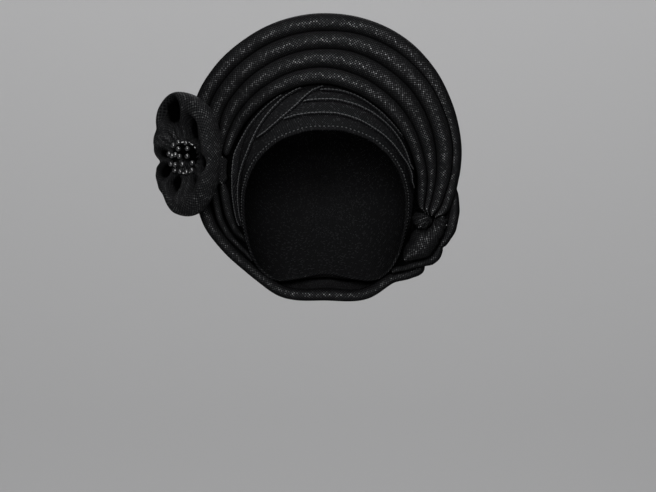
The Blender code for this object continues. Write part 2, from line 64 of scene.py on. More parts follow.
# Forehead pleats
PLEAT_RISE = 0.0022
PLEAT_NOSE = 0.5
PLEAT_SPACING = 0.35
PLEAT_LEAST_WIDTH = 1.0
PLEAT_TUCK = 3.0
PLEAT_TUCK_GROWTH = 0.3

# Padded rolls
ROLL_RADIUS = 0.008
STACK_LEAN = 27.0
FIRST_ANGLE = -20.6
LAST_ANGLE = 168.4
HALO_LAST_ANGLE = 318.6
NOTCH_ANGLE = 355.0
END_ROUNDING = 3.0

# Back drape
DRAPE_STAND_OFF = 0.012
DRAPE_TAUTNESS = 1.75
DRAPE_FOLDS = 10
DRAPE_FOLD_DEPTH = 0.003
DRAPE_TUCK = 0.3

# Rosette
ROSETTE_ANGLE = 171.5
ROSETTE_TURN = 40.0
ROSETTE_RADIUS = 0.052
ROSETTE_NECK = 0.0168
ROSETTE_DEPTH = 0.013
ROSETTE_EYE = 0.26
SCOOP_UNDERCUT = 0.3
NECK_RADIUS = 0.006
HEART_GAP = 0.0005
HEART_RISE = 0.0035
BEAD_RADIUS = 0.0023
BEAD_COUNT = 18

# How finely the pieces are divided: degrees along a tube, sides and rings round and along the others
FINE_STEP = 0.75
TUBE_SIDES = 48
LUMP_SIDES = 120
LUMP_RINGS = 130
CAP_FINE = (240, 80)
DRAPE_FINE = (360, 90)
ROSETTE_FINE = (400, 110)
HEART_RINGS = 40
BEAD_FINE = (32, 20)

# Creases of the rolls and folds: degrees over which they fade from the drawn ends, and unevenness
ROLL_DRAWN = 9
FOLD_DRAWN = 14
ROLL_UNEVENNESS = 0.014
UNEVEN_SCALE = 0.09
BLUNT_END = 0.12
LOOP_OVERRUN = 0.5

# Lumps of gathered cloth: they press a little on the folds round them
LUMP_FULLNESS = 1.05
LUMP_RIDGES = 8
LUMP_WANDER = 50

# The tie at the right, as the front view shows it: the creases of the knot and the puff run out from it
TIE_ACROSS = 0.0893
TIE_UP = -0.0322
TIE_CREASES = 10
TIE_DEPTH = 0.0026
TIE_REACH = 0.019
TIE_BLEND = 0.004
TIE_WANDER = 56
TIE_SHARPNESS = 0.8
TIE_SHADE = 0.22

# Painted light, as shares of a full painted highlight: on the halo's free side, on slack folds and on the
# drape
FREE_SIDE_PAINTED_LIGHT = 0.5
SLACK_PAINTED_LIGHT = 0.955
DRAPE_PAINTED_LIGHT = 0.9

# The cap's hem, in degrees of tilt and metres, and the swell of the band beside the knot
HEM_WIDTH = 3.2
HEM_LIFT = 0.0005
HEM_END = 1.25
RIM_ROUND = 0.7
SWELL_TILT = -7.0
SWELL_SPREAD = 26.0
SWELL_FALL = 0.8

# Pleats: end rounding and waver in degrees, and heights as shares of their rise
PLEAT_KEPT = 0.6
PLEAT_END_ROUNDING = 6
PLEAT_WAVER = 0.22
WAVER_SCALE = 0.11
PLEAT_FRONT = 0.5
PLEAT_BACK_RISE = 0.18
PLEAT_TOP_RISE = 0.5

# Stitches: length, pitch and radius of a thread, and where they lie
RIM_STITCH = (0.0014, 0.0037, 0.00036)
EDGE_STITCH = (0.0026, 0.0031, 0.00034)
RIM_STITCH_PLACE = 0.42
EDGE_STITCH_TILT = 0.25
EDGE_STITCH_RISE = 0.96
EDGE_STITCH_INSET = 3

# Fine folds of the drape: how many, how far they wander in degrees, and depths in metres
DRAPE_CREASES = 31
DRAPE_CREASE_WANDER = 90
DRAPE_CREASE_DEPTH = 0.0006
DRAPE_CRUMPLE = 0.0008

# The rosette's scoops: how sharply they drop, and how much deeper than in the plain solid
SCOOP_STEEPNESS = 1.7
SCOOP_DEEPENED = 0.18
FRONT_ROWS = 5
# Painted light on the petals, its random variation, and the painted shade that darkens the scoops
PETAL_PAINTED_LIGHT = 0.92
PETAL_PAINTED_LIGHT_VARIES = 0.08
SCOOP_PAINTED_SHADE = 0.9
# Its gathers round the eye and the unevenness of its ruffles, as shares of ROSETTE_DEPTH
EYE_GATHERS = 24
EYE_GATHER_WANDER = 80
EYE_GATHER_DEPTH = 0.08
EYE_GATHER_REACH = 0.4
RUFFLE_UNEVENNESS = 0.09
RUFFLE_SCALE = 200
ROSETTE_WEAVE_SHARE = 0.7

# Cloth: distance between threads, colours, and how narrow the painted light on the crests is
THREAD_PITCH = 0.0017
WOVEN_GROUND = (0.0026, 0.0026, 0.0028, 1)
WOVEN_NET = (0.0125, 0.0128, 0.0134, 1)
WOVEN_GLINT = (0.28, 0.284, 0.29, 1)
TWILL_GROUND = (0.0020, 0.0020, 0.0022, 1)
TWILL_RIDGE = (0.0165, 0.0169, 0.0178, 1)
TWILL_GLINT = (0.05, 0.051, 0.053, 1)
THREAD_COLOUR = (0.055, 0.057, 0.06, 1)
BEAD_COLOUR = (0.011, 0.011, 0.012, 1)
STUDIO_COLOUR = (0.52, 0.52, 0.525, 1)
CREST_SHARPNESS = 9.0
LINE_SHARPNESS = 26.0

# Camera and studio
PHOTO_SIZE = (656, 492)
METRES_PER_PIXEL = 0.000835
AXIS_PIXEL = (325, 176)
CAMERA_DISTANCE = 6.0
SENSOR_WIDTH = 36
FLOOR_HEIGHT = -1.6
WALL_DISTANCE = 8.5
WALL_TOP = 5.5
SWEEP_RADIUS = 1.2
WORLD_STRENGTH = 0.04
# Lights: name, place, aim, width and height, and power
LIGHTS = (
    ("key", (-0.12, -2.4, 0.5), (0, 0, 0), (0.7, 0.7), 54),
    ("top", (0, -0.7, 2.1), (0, 0, 0), (2.4, 1.6), 50),
    ("backdrop", (0, 5.4, 3.0), (0, 8.5, -0.2), (4.0, 1.0), 144),
    ("back", (0.3, 2.6, 1.9), (0, 0, 0), (2.0, 1.5), 120))


class Table:
    """Rows at rising angles, read between the rows along a smooth curve that never overshoots."""

    def __init__(self, columns, rows):
        self.columns = columns
        self.rows = rows
        self.places = [row[0] for row in rows]

    def first(self):
        return self.places[0]

    def last(self):
        return self.places[-1]

    def slope(self, values, index):
        if index in (0, len(values) - 1):
            return 0.0
        before = (values[index] - values[index - 1]) / (self.places[index] - self.places[index - 1])
        after = (values[index + 1] - values[index]) / (self.places[index + 1] - self.places[index])
        if before * after <= 0:
            return 0.0
        return 2 * before * after / (before + after)

    def at(self, place, column):
        values = [row[self.columns.index(column)] for row in self.rows]
        if place <= self.places[0]:
            return values[0]
        if place >= self.places[-1]:
            return values[-1]
        index = bisect_right(self.places, place) - 1
        span = self.places[index + 1] - self.places[index]
        part = (place - self.places[index]) / span
        start_slope = self.slope(values, index) * span
        end_slope = self.slope(values, index + 1) * span
        return (values[index] * (1 + 2 * part) * (1 - part) ** 2
                + start_slope * part * (1 - part) ** 2
                + values[index + 1] * part ** 2 * (3 - 2 * part)
                + end_slope * part ** 2 * (part - 1))


# The cap's rim: its tilt over the head form, by the angle away from the crown
RIM = Table(("from_crown", "tilt"), (
    (0, -64), (30, -60), (60, -48.5), (75, -40), (90, -30), (105, -16),
    (120, -3), (135, 9), (150, 26), (165, 38), (180, 42)))

# The stack of rolls: tilt of roll_1, padding under it and all radii as shares of ROLL_RADIUS
ARCH = Table(("angle", "tilt", "padding", "roll_1", "roll_2", "roll_3", "halo", "halo_lean"), (
    (-20.6, -1, 1.30, 0.17, 0.15, 0.20, 0.24, 32),
    (-18, -1, 0.62, 0.32, 0.26, 0.44, 0.48, 34),
    (-14, -2, 0.34, 0.44, 0.34, 0.58, 0.58, 37),
    (-8, -4, 0.20, 0.51, 0.40, 0.66, 0.66, 42),
    (0, -9.4, 0.10, 0.54, 0.51, 0.81, 0.75, 53),
    (15, -17.9, 0.00, 0.64, 0.76, 0.99, 0.82, 53),
    (30, -24, 0.00, 0.75, 0.94, 1.03, 0.88, 50),
    (45, -29.1, 0.00, 0.85, 1.09, 1.09, 0.91, 41),
    (60, -32.4, 0.00, 0.90, 1.15, 1.14, 0.92, 30),
    (75, -33.4, 0.00, 0.92, 1.18, 1.09, 0.94, 27),
    (90, -32.1, 0.00, 0.91, 1.07, 1.03, 1.00, 27),
    (105, -30.1, 0.00, 0.88, 1.01, 1.03, 0.98, 27),
    (120, -25.8, 0.00, 0.80, 0.96, 1.00, 0.93, 27),
    (135, -18.8, 0.00, 0.72, 0.88, 0.95, 0.90, 27),
    (150, -8.9, 0.10, 0.60, 0.72, 0.87, 0.86, 27),
    (160, -5, 0.30, 0.50, 0.42, 0.68, 0.84, 30),
    (168, -4, 0.50, 0.42, 0.26, 0.40, 0.85, 35)))

# Tubes that leave the stack: lift and radius as shares of ROLL_RADIUS
TUBE_COLUMNS = ("angle", "tilt", "lift", "radius")
HALO_TAIL = Table(TUBE_COLUMNS, (
    (185, 4.1, 4.10, 0.76), (200, 6.4, 4.05, 0.68), (215, 12, 3.05, 0.62), (230, 19.5, 1.52, 0.58),
    (236, 25, 1.16, 0.60), (250, 31, 1.10, 0.62), (270, 32, 1.12, 0.66), (290, 30, 1.10, 0.62),
    (302, 24.5, 1.08, 0.54), (310, 17.5, 2.35, 0.58), (315, 15, 3.25, 0.60), (318.6, 13.5, 3.60, 0.50)))
DRAPE_BEHIND_KNOT = Table(TUBE_COLUMNS, (
    (324, 9.5, 4.10, 0.60), (336, 7.6, 4.60, 0.60), (346, 7.2, 4.65, 0.60)))
NAPE_FOLD_1 = Table(TUBE_COLUMNS, (
    (184.6, -1.6, 1.76, 0.34), (190, 0, 1.72, 0.50), (200, 3.8, 1.70, 0.48), (210, 9, 1.50, 0.36),
    (220, 20, 0.92, 0.34), (228, 29, 0.76, 0.34), (238, 37, 0.73, 0.34), (252, 41, 0.73, 0.35),
    (270, 44, 0.76, 0.36), (286, 41, 0.73, 0.34), (297, 38, 0.70, 0.28)))
NAPE_FOLD_2 = Table(TUBE_COLUMNS, (
    (186, -0.5, 2.66, 0.30), (192, 2, 2.74, 0.40), (200, 4.5, 2.76, 0.38), (210, 9.4, 2.43, 0.36),
    (220, 13.5, 1.50, 0.27), (226, 16.5, 0.90, 0.24), (229, 17.8, 0.72, 0.18)))
LOOP_LOWER = Table(TUBE_COLUMNS, (
    (305, 18.3, 0.46, 0.26), (308, 15.3, 0.82, 0.34), (311, 12.6, 1.50, 0.35), (315, 10, 2.38, 0.38),
    (318, 8.3, 3.13, 0.44), (321, 6.5, 3.88, 0.49), (325, 5.5, 4.36, 0.50), (327.6, 5.4, 4.44, 0.45),
    (328.7, 5.8, 4.46, 0.36)))
LOOP_OUTER = Table(TUBE_COLUMNS, (
    (-31.1, 6.6, 4.50, 0.38), (-29.9, 6.8, 4.65, 0.46), (-27, 7, 4.90, 0.50), (-22, 6.9, 5.20, 0.54),
    (-16, 7.3, 5.20, 0.53), (-10.5, 7.6, 5.00, 0.46), (-7.2, 7.9, 4.88, 0.36), (-5.4, 8.1, 4.82, 0.24)))

# Lumps of gathered cloth: lift, half height and half depth as shares of ROLL_RADIUS
LUMP_COLUMNS = ("angle", "tilt", "lift", "height", "depth")
LEFT_GATHER = Table(LUMP_COLUMNS, (
    (169.2, -3, 1.86, 0.30, 0.30), (171, -3, 1.88, 0.70, 0.78), (174, -3, 1.88, 0.66, 0.72),
    (178, -3, 1.88, 0.68, 0.74), (181.5, -3, 1.88, 0.76, 0.84), (184.2, -3, 1.86, 0.34, 0.34)))
KNOT = Table(LUMP_COLUMNS, (
    (-29, 0.2, 1.66, 0.36, 0.34), (-27.8, 0, 1.70, 0.80, 0.76), (-25.6, -0.2, 1.76, 1.02, 0.94),
    (-23.6, -0.4, 1.84, 1.06, 0.98), (-22, -0.8, 2.00, 0.92, 0.86), (-20.9, -1, 2.14, 0.48, 0.46)))
PUFF = Table(LUMP_COLUMNS, (
    (-46.6, 8, 1.00, 0.25, 0.30), (-44.5, 6.8, 1.16, 0.60, 0.80), (-41, 4.3, 1.64, 1.06, 1.20),
    (-37, 3.2, 2.30, 1.40, 1.46), (-33.5, 2.6, 2.50, 1.50, 1.36), (-30.6, 2.4, 2.78, 1.46, 1.16),
    (-29.2, 2.4, 3.08, 1.16, 1.04), (-27.6, 2.6, 3.40, 0.94, 0.96), (-25, 2.8, 3.62, 0.86, 0.90),
    (-22.6, 3.4, 3.76, 0.78, 0.84), (-20.4, 4.7, 3.90, 0.60, 0.66), (-18.8, 5.2, 3.98, 0.34, 0.40)))

# The lumps: node, table, ridges and unevenness as shares of their size, scale and seed of it, and fill
LUMPS = (
    ("left_gather", LEFT_GATHER, 0.07, 0.05, 2.5, 12, 0.5),
    ("knot", KNOT, 0.0, 0.06, 3.0, 4, 0.5),
    ("puff", PUFF, 0.0, 0.05, 2.2, 4, 0.6))
# Creases round a roll: how many, how far they wander in degrees, on what scale, and how deep as a share
ROLL_CREASES = ((5, 40, 0.04, 0.07), (11, 60, 0.05, 0.03))

# How far the band of cloth beside the knot swells off the cap, by angle
SIDE_SWELL = Table(("angle", "swell"), (
    (-60, 0.0), (-52, 0.0008), (-42, 0.0020), (-32, 0.0030), (-24, 0.0032), (-14, 0.0030), (-8, 0.0016),
    (0, 0.0)))
# The hem's section from the rim: how far back as a share of HEM_WIDTH, and lift as one of HEM_LIFT
HEM_SECTION = ((0, 1.0), (0.3, 1.0), (0.6, 1.0), (0.85, 1.0), (1.0, 0.8), (1.1, 0.2), (1.2, 0.0))
# A stitch's sections along it: how far it bows out and how thick it is, as shares of its radius
STITCH_SECTIONS = ((0.0, -0.6, 0.7), (0.25, 0.5, 1.0), (0.75, 0.5, 1.0), (1.0, -0.6, 0.7))

# The pleats' front edges: tilt by angle. Each runs from under roll_1 and back under it or a neighbour
PLEAT_EDGES = {
    "pleat_right_1": Table(("angle", "tilt"), (
        (-10, -1), (-7, -9), (-4, -16.5), (0, -19.3), (8, -25.6), (15, -31.9), (30, -40.6), (45, -47.2),
        (60, -51.4), (75, -54.1), (90, -54.9), (105, -53.3), (120, -49.2), (134, -44))),
    "pleat_right_2": Table(("angle", "tilt"), (
        (2, -9), (5, -17), (8, -21.7), (15, -24.6), (30, -30.7), (45, -36.7), (60, -41.4), (75, -44.4),
        (90, -45.4), (105, -43.9), (112, -41.5))),
    "pleat_right_3": Table(("angle", "tilt"), (
        (24, -20), (30, -25.6), (45, -31.8), (60, -35), (75, -36.6), (87, -37.4), (96, -37))),
    "pleat_left_1": Table(("angle", "tilt"), (
        (86, -26), (91, -33.9), (98, -37), (105, -40.8), (113, -44.1), (120, -44.8), (130, -44.3),
        (140, -41.9), (145, -39.6), (150, -35.8), (154, -32))),
    "pleat_left_2": Table(("angle", "tilt"), (
        (100, -25), (105, -31.4), (118, -31.9), (125, -32.5), (135, -32.4), (150, -31.6), (160, -30.3),
        (170, -26.6), (180, -21.5), (190, -13), (200, -5), (210, 3))),
    "pleat_left_3": Table(("angle", "tilt"), (
        (114, -22), (118, -27.4), (130, -25), (150, -18.6), (165, -15.8), (180, -14.7), (190, -8),
        (200, -1), (212, 8))),
}
# The bias strips that they are folded from, in the same order: width and length, metres
PLEAT_STRIPS = ((0.017, 0.127), (0.015, 0.102), (0.012, 0.080),
                (0.015, 0.080), (0.015, 0.125), (0.018, 0.155))
# The pleats that lie over each pleat
PLEATS_ABOVE = {
    "pleat_right_1": ("pleat_right_2", "pleat_left_1"),
    "pleat_right_2": ("pleat_right_3", "pleat_left_1"),
    "pleat_right_3": ("pleat_left_1",),
    "pleat_left_1": ("pleat_left_2",),
    "pleat_left_2": ("pleat_left_3",),
    "pleat_left_3": (),
}

# The rosette's outline: reach of its rim and height of its ruffles as shares of ROSETTE_RADIUS and
# ROSETTE_DEPTH, by the angle in its plane
ROSETTE_RIM = Table(("angle", "reach", "height"), (
    (0, 0.75, 1.00), (20, 0.79, 1.00), (45, 0.90, 1.00), (66, 0.99, 1.00), (84, 1.04, 0.95),
    (98, 1.06, 0.85), (116, 0.98, 0.75), (138, 0.72, 0.60), (158, 0.64, 0.50), (174, 0.58, 0.45),
    (188, 0.46, 0.45), (199, 0.57, 0.50), (222, 0.67, 0.60), (244, 0.74, 0.75), (262, 0.91, 0.85),
    (285, 0.96, 0.95), (305, 0.88, 1.00), (330, 0.79, 1.00), (345, 0.75, 1.00), (360, 0.75, 1.00)))
# Its scoops between the ruffles: angle and reach where they lie, width in degrees, span and depth as shares
ROSETTE_SCOOPS = (
    (59, 0.36, 17, 0.24, 1.15), (104, 0.64, 15, 0.26, 1.00), (172, 0.42, 11, 0.30, 0.80),
    (209, 0.46, 15, 0.32, 1.00), (249, 0.32, 14, 0.24, 1.00), (305, 0.32, 10, 0.22, 0.70),
    (348, 0.48, 13, 0.24, 1.15))
# Its section from the eye over the rim to the back: reach as a share of the rim, height of its depth
ROSETTE_SECTION = Table(("place", "reach", "height"), (
    (0, 0.00, -0.10), (1, 0.22, 0.18), (2, 0.46, 0.62), (3, 0.70, 0.92), (4, 0.88, 0.80),
    (5, 1.00, 0.20), (6, 0.95, -0.38), (7, 0.74, -0.62)))


def sine(degrees):
    return math.sin(math.radians(degrees))


def cosine(degrees):
    return math.cos(math.radians(degrees))


def head_outline(angle):
    """Reach of the head form from the Y axis: an ellipse above, tapering sides and a nape below."""
    across = abs(cosine(angle))
    up = sine(angle)
    if up >= 0:
        return 1 / math.hypot(across / HEAD_HALF_WIDTH, up / HEAD_HALF_HEIGHT)
    side = (across - SIDE_TAPER * up) / HEAD_HALF_WIDTH
    nape = -up / NAPE_DROP
    return (side ** NAPE_CORNER + nape ** NAPE_CORNER) ** (-1 / NAPE_CORNER)


def lifted(angle, tilt, lift):
    """Reach from the Y axis and depth along it of a point over the head form."""
    return (head_outline(angle) + lift) * cosine(tilt), (HEAD_HALF_DEPTH + lift) * sine(tilt)


def place(angle, reach, depth):
    return Vector((reach * cosine(angle), depth, reach * sine(angle)))


def rim_tilt(angle):
    from_crown = abs((angle - 90 + 180) % 360 - 180)
    return RIM.at(from_crown, "tilt")


def arch_stack(angle):
    """Reach, depth and radius of roll_1, roll_2, roll_3 and the halo roll, each resting on the last."""
    radii = [ARCH.at(angle, column) * ROLL_RADIUS for column in ("roll_1", "roll_2", "roll_3", "halo")]
    seat = CAP_WALL + PLEAT_RISE + 2 * SEAT_GAP + ARCH.at(angle, "padding") * ROLL_RADIUS
    reach, depth = lifted(angle, ARCH.at(angle, "tilt"), seat + radii[0])
    stack = [(reach, depth, radii[0])]
    leans = (STACK_LEAN, STACK_LEAN, ARCH.at(angle, "halo_lean"))
    for lean, below, radius in zip(leans, radii, radii[1:]):
        pitch = below + radius + SEAT_GAP
        reach += pitch * cosine(lean)
        depth += pitch * sine(lean)
        stack.append((reach, depth, radius))
    return stack


def on_form(table, angle):
    """Reach, depth and radius of a tube whose table gives its tilt, lift and radius."""
    reach, depth = lifted(angle, table.at(angle, "tilt"), table.at(angle, "lift") * ROLL_RADIUS)
    return reach, depth, table.at(angle, "radius") * ROLL_RADIUS


def halo_track():
    """The halo roll's course round the whole head, past the notch as the back drape's edge has it."""
    rows = []
    for angle in (0, 15, 30, 45, 60, 75, 90, 105, 120, 135, 150, 160, 168):
        rows.append((angle, *arch_stack(angle)[3]))
    for table in (HALO_TAIL, DRAPE_BEHIND_KNOT):
        for angle in table.places:
            rows.append((angle, *on_form(table, angle)))
    rows.append((NOTCH_ANGLE, *arch_stack(NOTCH_ANGLE - 360)[3]))
    rows.append((360, *rows[0][1:]))
    return Table(("angle", "reach", "depth", "radius"), tuple(rows))


def halo_section(track, angle):
    if angle <= ARCH.last():
        return arch_stack(angle)[3]
    return tuple(track.at(angle, column) for column in ("reach", "depth", "radius"))


def rear_tilt(angle):
    """How far back a pleat can reach: under roll_1, and further round the side past the gather."""
    past = max(0, angle - ARCH.last())
    return ARCH.at(angle, "tilt") + PLEAT_TUCK + PLEAT_TUCK_GROWTH * past


def pleat_span(name, angle):
    """Front and back tilt of a pleat at an angle; the back stops short of the next pleat's edge."""
    front = PLEAT_EDGES[name].at(angle, "tilt")
    back = rear_tilt(angle)
    for other in PLEATS_ABOVE[name]:
        edge = PLEAT_EDGES[other]
        if edge.first() <= angle <= edge.last():
            back = min(back, edge.at(angle, "tilt") - PLEAT_NOSE - PLEAT_SPACING)
    return front, back


def pleat_rise(name, angle):
    """A pleat is as high as the room under roll_1 leaves it, where it lies over others."""
    if name != "pleat_left_3":
        return PLEAT_RISE
    return PLEAT_RISE + ARCH.at(angle, "padding") * ROLL_RADIUS - SEAT_GAP


def drape_point(track, angle, share):
    """A point of the drape: from behind the halo to the back of the head, with low radial folds."""
    reach, depth, radius = (track.at(angle, column) for column in ("reach", "depth", "radius"))
    stand_off = radius + 2 * SEAT_GAP
    edge_reach = reach - DRAPE_TUCK * stand_off
    edge_depth = depth + stand_off
    back_depth = HEAD_HALF_DEPTH + CAP_WALL + DRAPE_STAND_OFF
    turn = 90 * share
    power = 2 / DRAPE_TAUTNESS
    fold = DRAPE_FOLD_DEPTH * sine(180 * share) * cosine(DRAPE_FOLDS * angle)
    point_reach = edge_reach * cosine(turn) ** power + fold
    point_depth = edge_depth + (back_depth - edge_depth) * sine(turn) ** power
    return place(angle, point_reach, point_depth)


def rosette_frame():
    """The rosette's middle and its axes: across, up, and out along the neck from the halo roll."""
    reach, depth, radius = halo_section(HALO, ROSETTE_ANGLE)
    out = Vector((-sine(ROSETTE_TURN), -cosine(ROSETTE_TURN), 0))
    across = Vector((cosine(ROSETTE_TURN), -sine(ROSETTE_TURN), 0))
    up = Vector((0, 0, 1))
    seat = place(ROSETTE_ANGLE, reach, depth) + out * (radius + SEAT_GAP)
    return seat + out * ROSETTE_NECK, across, up, out


HALO = halo_track()


def tube_turns(sides):
    """Turns round a section, from the hidden back over the front and round again."""
    return [90 + 360 * side / sides for side in range(sides + 1)]


def wavy(angle, turn, scale, seed):
    """Smooth variation from -1 to 1 over a piece."""
    round_it = 1.3
    return noise.noise(Vector((angle * scale, cosine(turn) * round_it + seed, sine(turn) * round_it - seed)))


def add_object(name, data):
    added = bpy.data.objects.new(name, data)
    bpy.context.scene.collection.objects.link(added)
    return added


def mesh_from(shape, name):
    mesh = bpy.data.meshes.new(name)
    shape.to_mesh(mesh)
    shape.free()
    return mesh


def distances(points):
    """How far along a course of points each of them lies."""
    walked = [0.0]
    for before, point in zip(points, points[1:]):
        walked.append(walked[-1] + (point - before).length)
    return walked


def full_circle(parts):
    return [360 * part / parts for part in range(parts + 1)]


def round_weave(angles, radius, column):
    """The weave of rows that run round; a column of their points says how far apart the rows are."""
    return [[(math.radians(angle) * radius, across) for angle in angles] for across in distances(column)]


def new_piece(name, mesh, material):
    piece = add_object(name, mesh)
    mesh.materials.append(material)
    mesh.shade_smooth()
    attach(piece, "root")
    return piece


def lay_mesh(name, rows, weave, closed_ends=True):
    """A mesh of rows of points that run round, with its weave laid out in metres along and across."""
    shape = bmesh.new()
    layer = shape.loops.layers.uv.new("weave")
    lines = [[shape.verts.new(point) for point in row] for row in rows]
    count = len(lines[0])
    for level in range(len(lines) - 1):
        for index in range(count):
            corners = ((level, index), (level, index + 1), (level + 1, index + 1), (level + 1, index))
            face = shape.faces.new([lines[row][column % count] for row, column in corners])
            for loop, (row, column) in zip(face.loops, corners):
                loop[layer].uv = weave[row][column]
    if closed_ends:
        for level in (0, len(lines) - 1):
            middle = shape.verts.new(sum((vertex.co for vertex in lines[level]), Vector()) / count)
            for index in range(count):
                face = shape.faces.new((lines[level][(index + 1) % count], lines[level][index], middle))
                for loop in face.loops:
                    loop[layer].uv = weave[level][index]
    bmesh.ops.recalc_face_normals(shape, faces=shape.faces)
    return mesh_from(shape, name)


def mark_crest(mesh, rows):
    """Stores how much painted light each point gets: 1 on the crest of a fold, as a painted highlight, 0
    down its sides, as painted shade.
    """
    layer = mesh.attributes.new("crest", "FLOAT", "POINT")
    values = [value for row in rows for value in row]
    values += [0.0] * (len(mesh.vertices) - len(values))
    layer.data.foreach_set("value", values)


def tube_mesh(name, rings, turns, crests=None):
    """A tube through section rings; the weave runs along it and its seam is at the back."""
    weave = []
    centres = [sum(ring, Vector()) / len(ring) for ring in rings]
    for ring, along in zip(rings, distances(centres)):
        girth = sum((ring[i] - ring[i - 1]).length for i in range(len(ring)))
        weave.append([(along, (turn - 270) / 360 * girth) for turn in turns])
    mesh = lay_mesh(name, rings, weave)
    # Painted light: 1 at the section's turn of 270 degrees, the front of a roll, falling to 0 at its sides
    crest = [max(0.0, -sine(turn)) for turn in turns[:-1]]
    mark_crest(mesh, crests or [crest] * len(rings))
    return mesh


def section_points(angle, reach, depth, height, thickness, turns, swell):
    """A section in the half-plane at an angle, with its radius varied by swell(turn)."""
    points = []
    for turn in turns[:-1]:
        size = swell(turn)
        points.append(place(angle, reach + height * size * cosine(turn),
                            depth + thickness * size * sine(turn)))
    return points


def fine_angles(first, last):
    count = math.ceil((last - first) / FINE_STEP)
    return [first + (last - first) * index / count for index in range(count + 1)]


def end_ease(angle, first, last, length=END_ROUNDING):
    """Share of its radius that a tube keeps near its rounded ends."""
    near = min(angle - first, last - angle) / length
    if near >= 1:
        return 1.0
    return max(BLUNT_END, math.sqrt(max(0, 1 - (1 - near) ** 2)))


def gathered(angle, turn, first, last, drawn, seed):
    """Creases that run along a roll and deepen where it is drawn together at its ends."""
    near_ends = math.exp(-(angle - first) / drawn) + math.exp(-(last - angle) / drawn)
    creased = 0.0
    for index, (count, wander, scale, depth) in enumerate(ROLL_CREASES):
        wandered = wander * wavy(angle, turn, scale, seed + 3 * index)
        creased += depth * cosine(count * turn + wandered)
    return 1 + near_ends * creased + ROLL_UNEVENNESS * wavy(angle, turn, UNEVEN_SCALE, seed)


def build_tube(name, sections, first, last, seed, material, drawn, crest_of, overrun=0.0):
    """A padded tube; overrun is how many degrees its cloth runs on before its first section."""
    turns = tube_turns(TUBE_SIDES)
    crest = [crest_of(turn) for turn in turns[:-1]]
    rings = []
    for angle in fine_angles(first - overrun, last):
        reach, depth, radius = sections(max(angle, first))
        rings.append(section_points(angle, reach, depth, radius, radius, turns,
                                    lambda turn: gathered(angle, turn, first, last, drawn, seed)))
    piece = new_piece(name, tube_mesh(name, rings, turns, [crest] * len(rings)), material)
    return piece


def build_roll(name, sections, first, last, seed, material, free_side_painted_light=0.0):
    """A roll that is rounded at both ends."""
    def rounded(angle):
        reach, depth, radius = sections(angle)
        return reach, depth, radius * end_ease(angle, first, last)

    def crest_of(turn):
        # Painted highlight on the front; the free outer side gets a painted light level of its own
        return max(-sine(turn), free_side_painted_light if cosine(turn) > 0 else 0.0)

    return build_tube(name, rounded, first, last, seed, material, ROLL_DRAWN, crest_of)


def build_fold(name, table, seed, material, overrun):
    """A slack fold, with a weaker painted highlight on its crest than the drawn rolls."""
    return build_tube(name, lambda angle: on_form(table, angle), table.first(), table.last(), seed, material,
                      FOLD_DRAWN, lambda turn: SLACK_PAINTED_LIGHT * max(0.0, -sine(turn)), overrun)


def tied(point, centre):
    """Moves a point of gathered cloth along the creases that run from the tie, and says how much painted
    light it keeps, less down the creases as painted shade.
    """
    across = point.x - TIE_ACROSS
    up = point.z - TIE_UP
    away = math.hypot(across, up)
    turn = math.degrees(math.atan2(up, across))
    wander = TIE_WANDER * noise.noise(Vector((away * 110, turn * 0.03, 3.0)))
    ridge = abs(sine(TIE_CREASES * turn + wander)) ** TIE_SHARPNESS
    fade = math.exp(-(away / TIE_REACH) ** 2) * (1 - math.exp(-away / TIE_BLEND))
    moved = point + (point - centre).normalized() * (TIE_DEPTH * fade * (ridge - 0.5))
    return moved, 1 - TIE_SHADE * fade * (1 - ridge)


def build_lump(node, table, ridge, uneven, scale, seed, fill, material):
    """A lump of gathered cloth, uneven and creased from the tie, along the half-planes of its table."""
    name = "soft_" + node
    turns = tube_turns(LUMP_SIDES)

    def swell(share, turn):
        ridges = cosine(LUMP_RIDGES * turn + LUMP_WANDER * wavy(share, turn, 1.5, seed - 1))
        return 1 + ridge * ridges + uneven * wavy(share, turn, scale, seed)

    rings = []
    crests = []
    first, last = table.first(), table.last()
    for index in range(LUMP_RINGS + 1):
        angle = first + (last - first) * index / LUMP_RINGS
        lift = table.at(angle, "lift") * ROLL_RADIUS
        reach, depth = lifted(angle, table.at(angle, "tilt"), lift)
        height = table.at(angle, "height") * ROLL_RADIUS * LUMP_FULLNESS
        thickness = table.at(angle, "depth") * ROLL_RADIUS
        ring = section_points(angle, reach, depth, height, thickness, turns,
                              lambda turn: swell((angle - first) / (last - first), turn))
        centre = place(angle, reach, depth)
        drawn = [tied(point, centre) for point in ring]
        rings.append([point for point, _ in drawn])
        crests.append([share * max(0.0, -sine(turn)) for (_, share), turn in zip(drawn, turns)])
    piece = new_piece(name, tube_mesh(name, rings, turns, crests), material)
    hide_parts(node)


def side_swell(angle, tilt):
    """Swell of the band beside the knot, which fades towards the rim and the back."""
    apart = min(abs(tilt - SWELL_TILT) / SWELL_SPREAD, 1)
    return SIDE_SWELL.at((angle + 180) % 360 - 180, "swell") * (1 - apart ** 2) ** SWELL_FALL


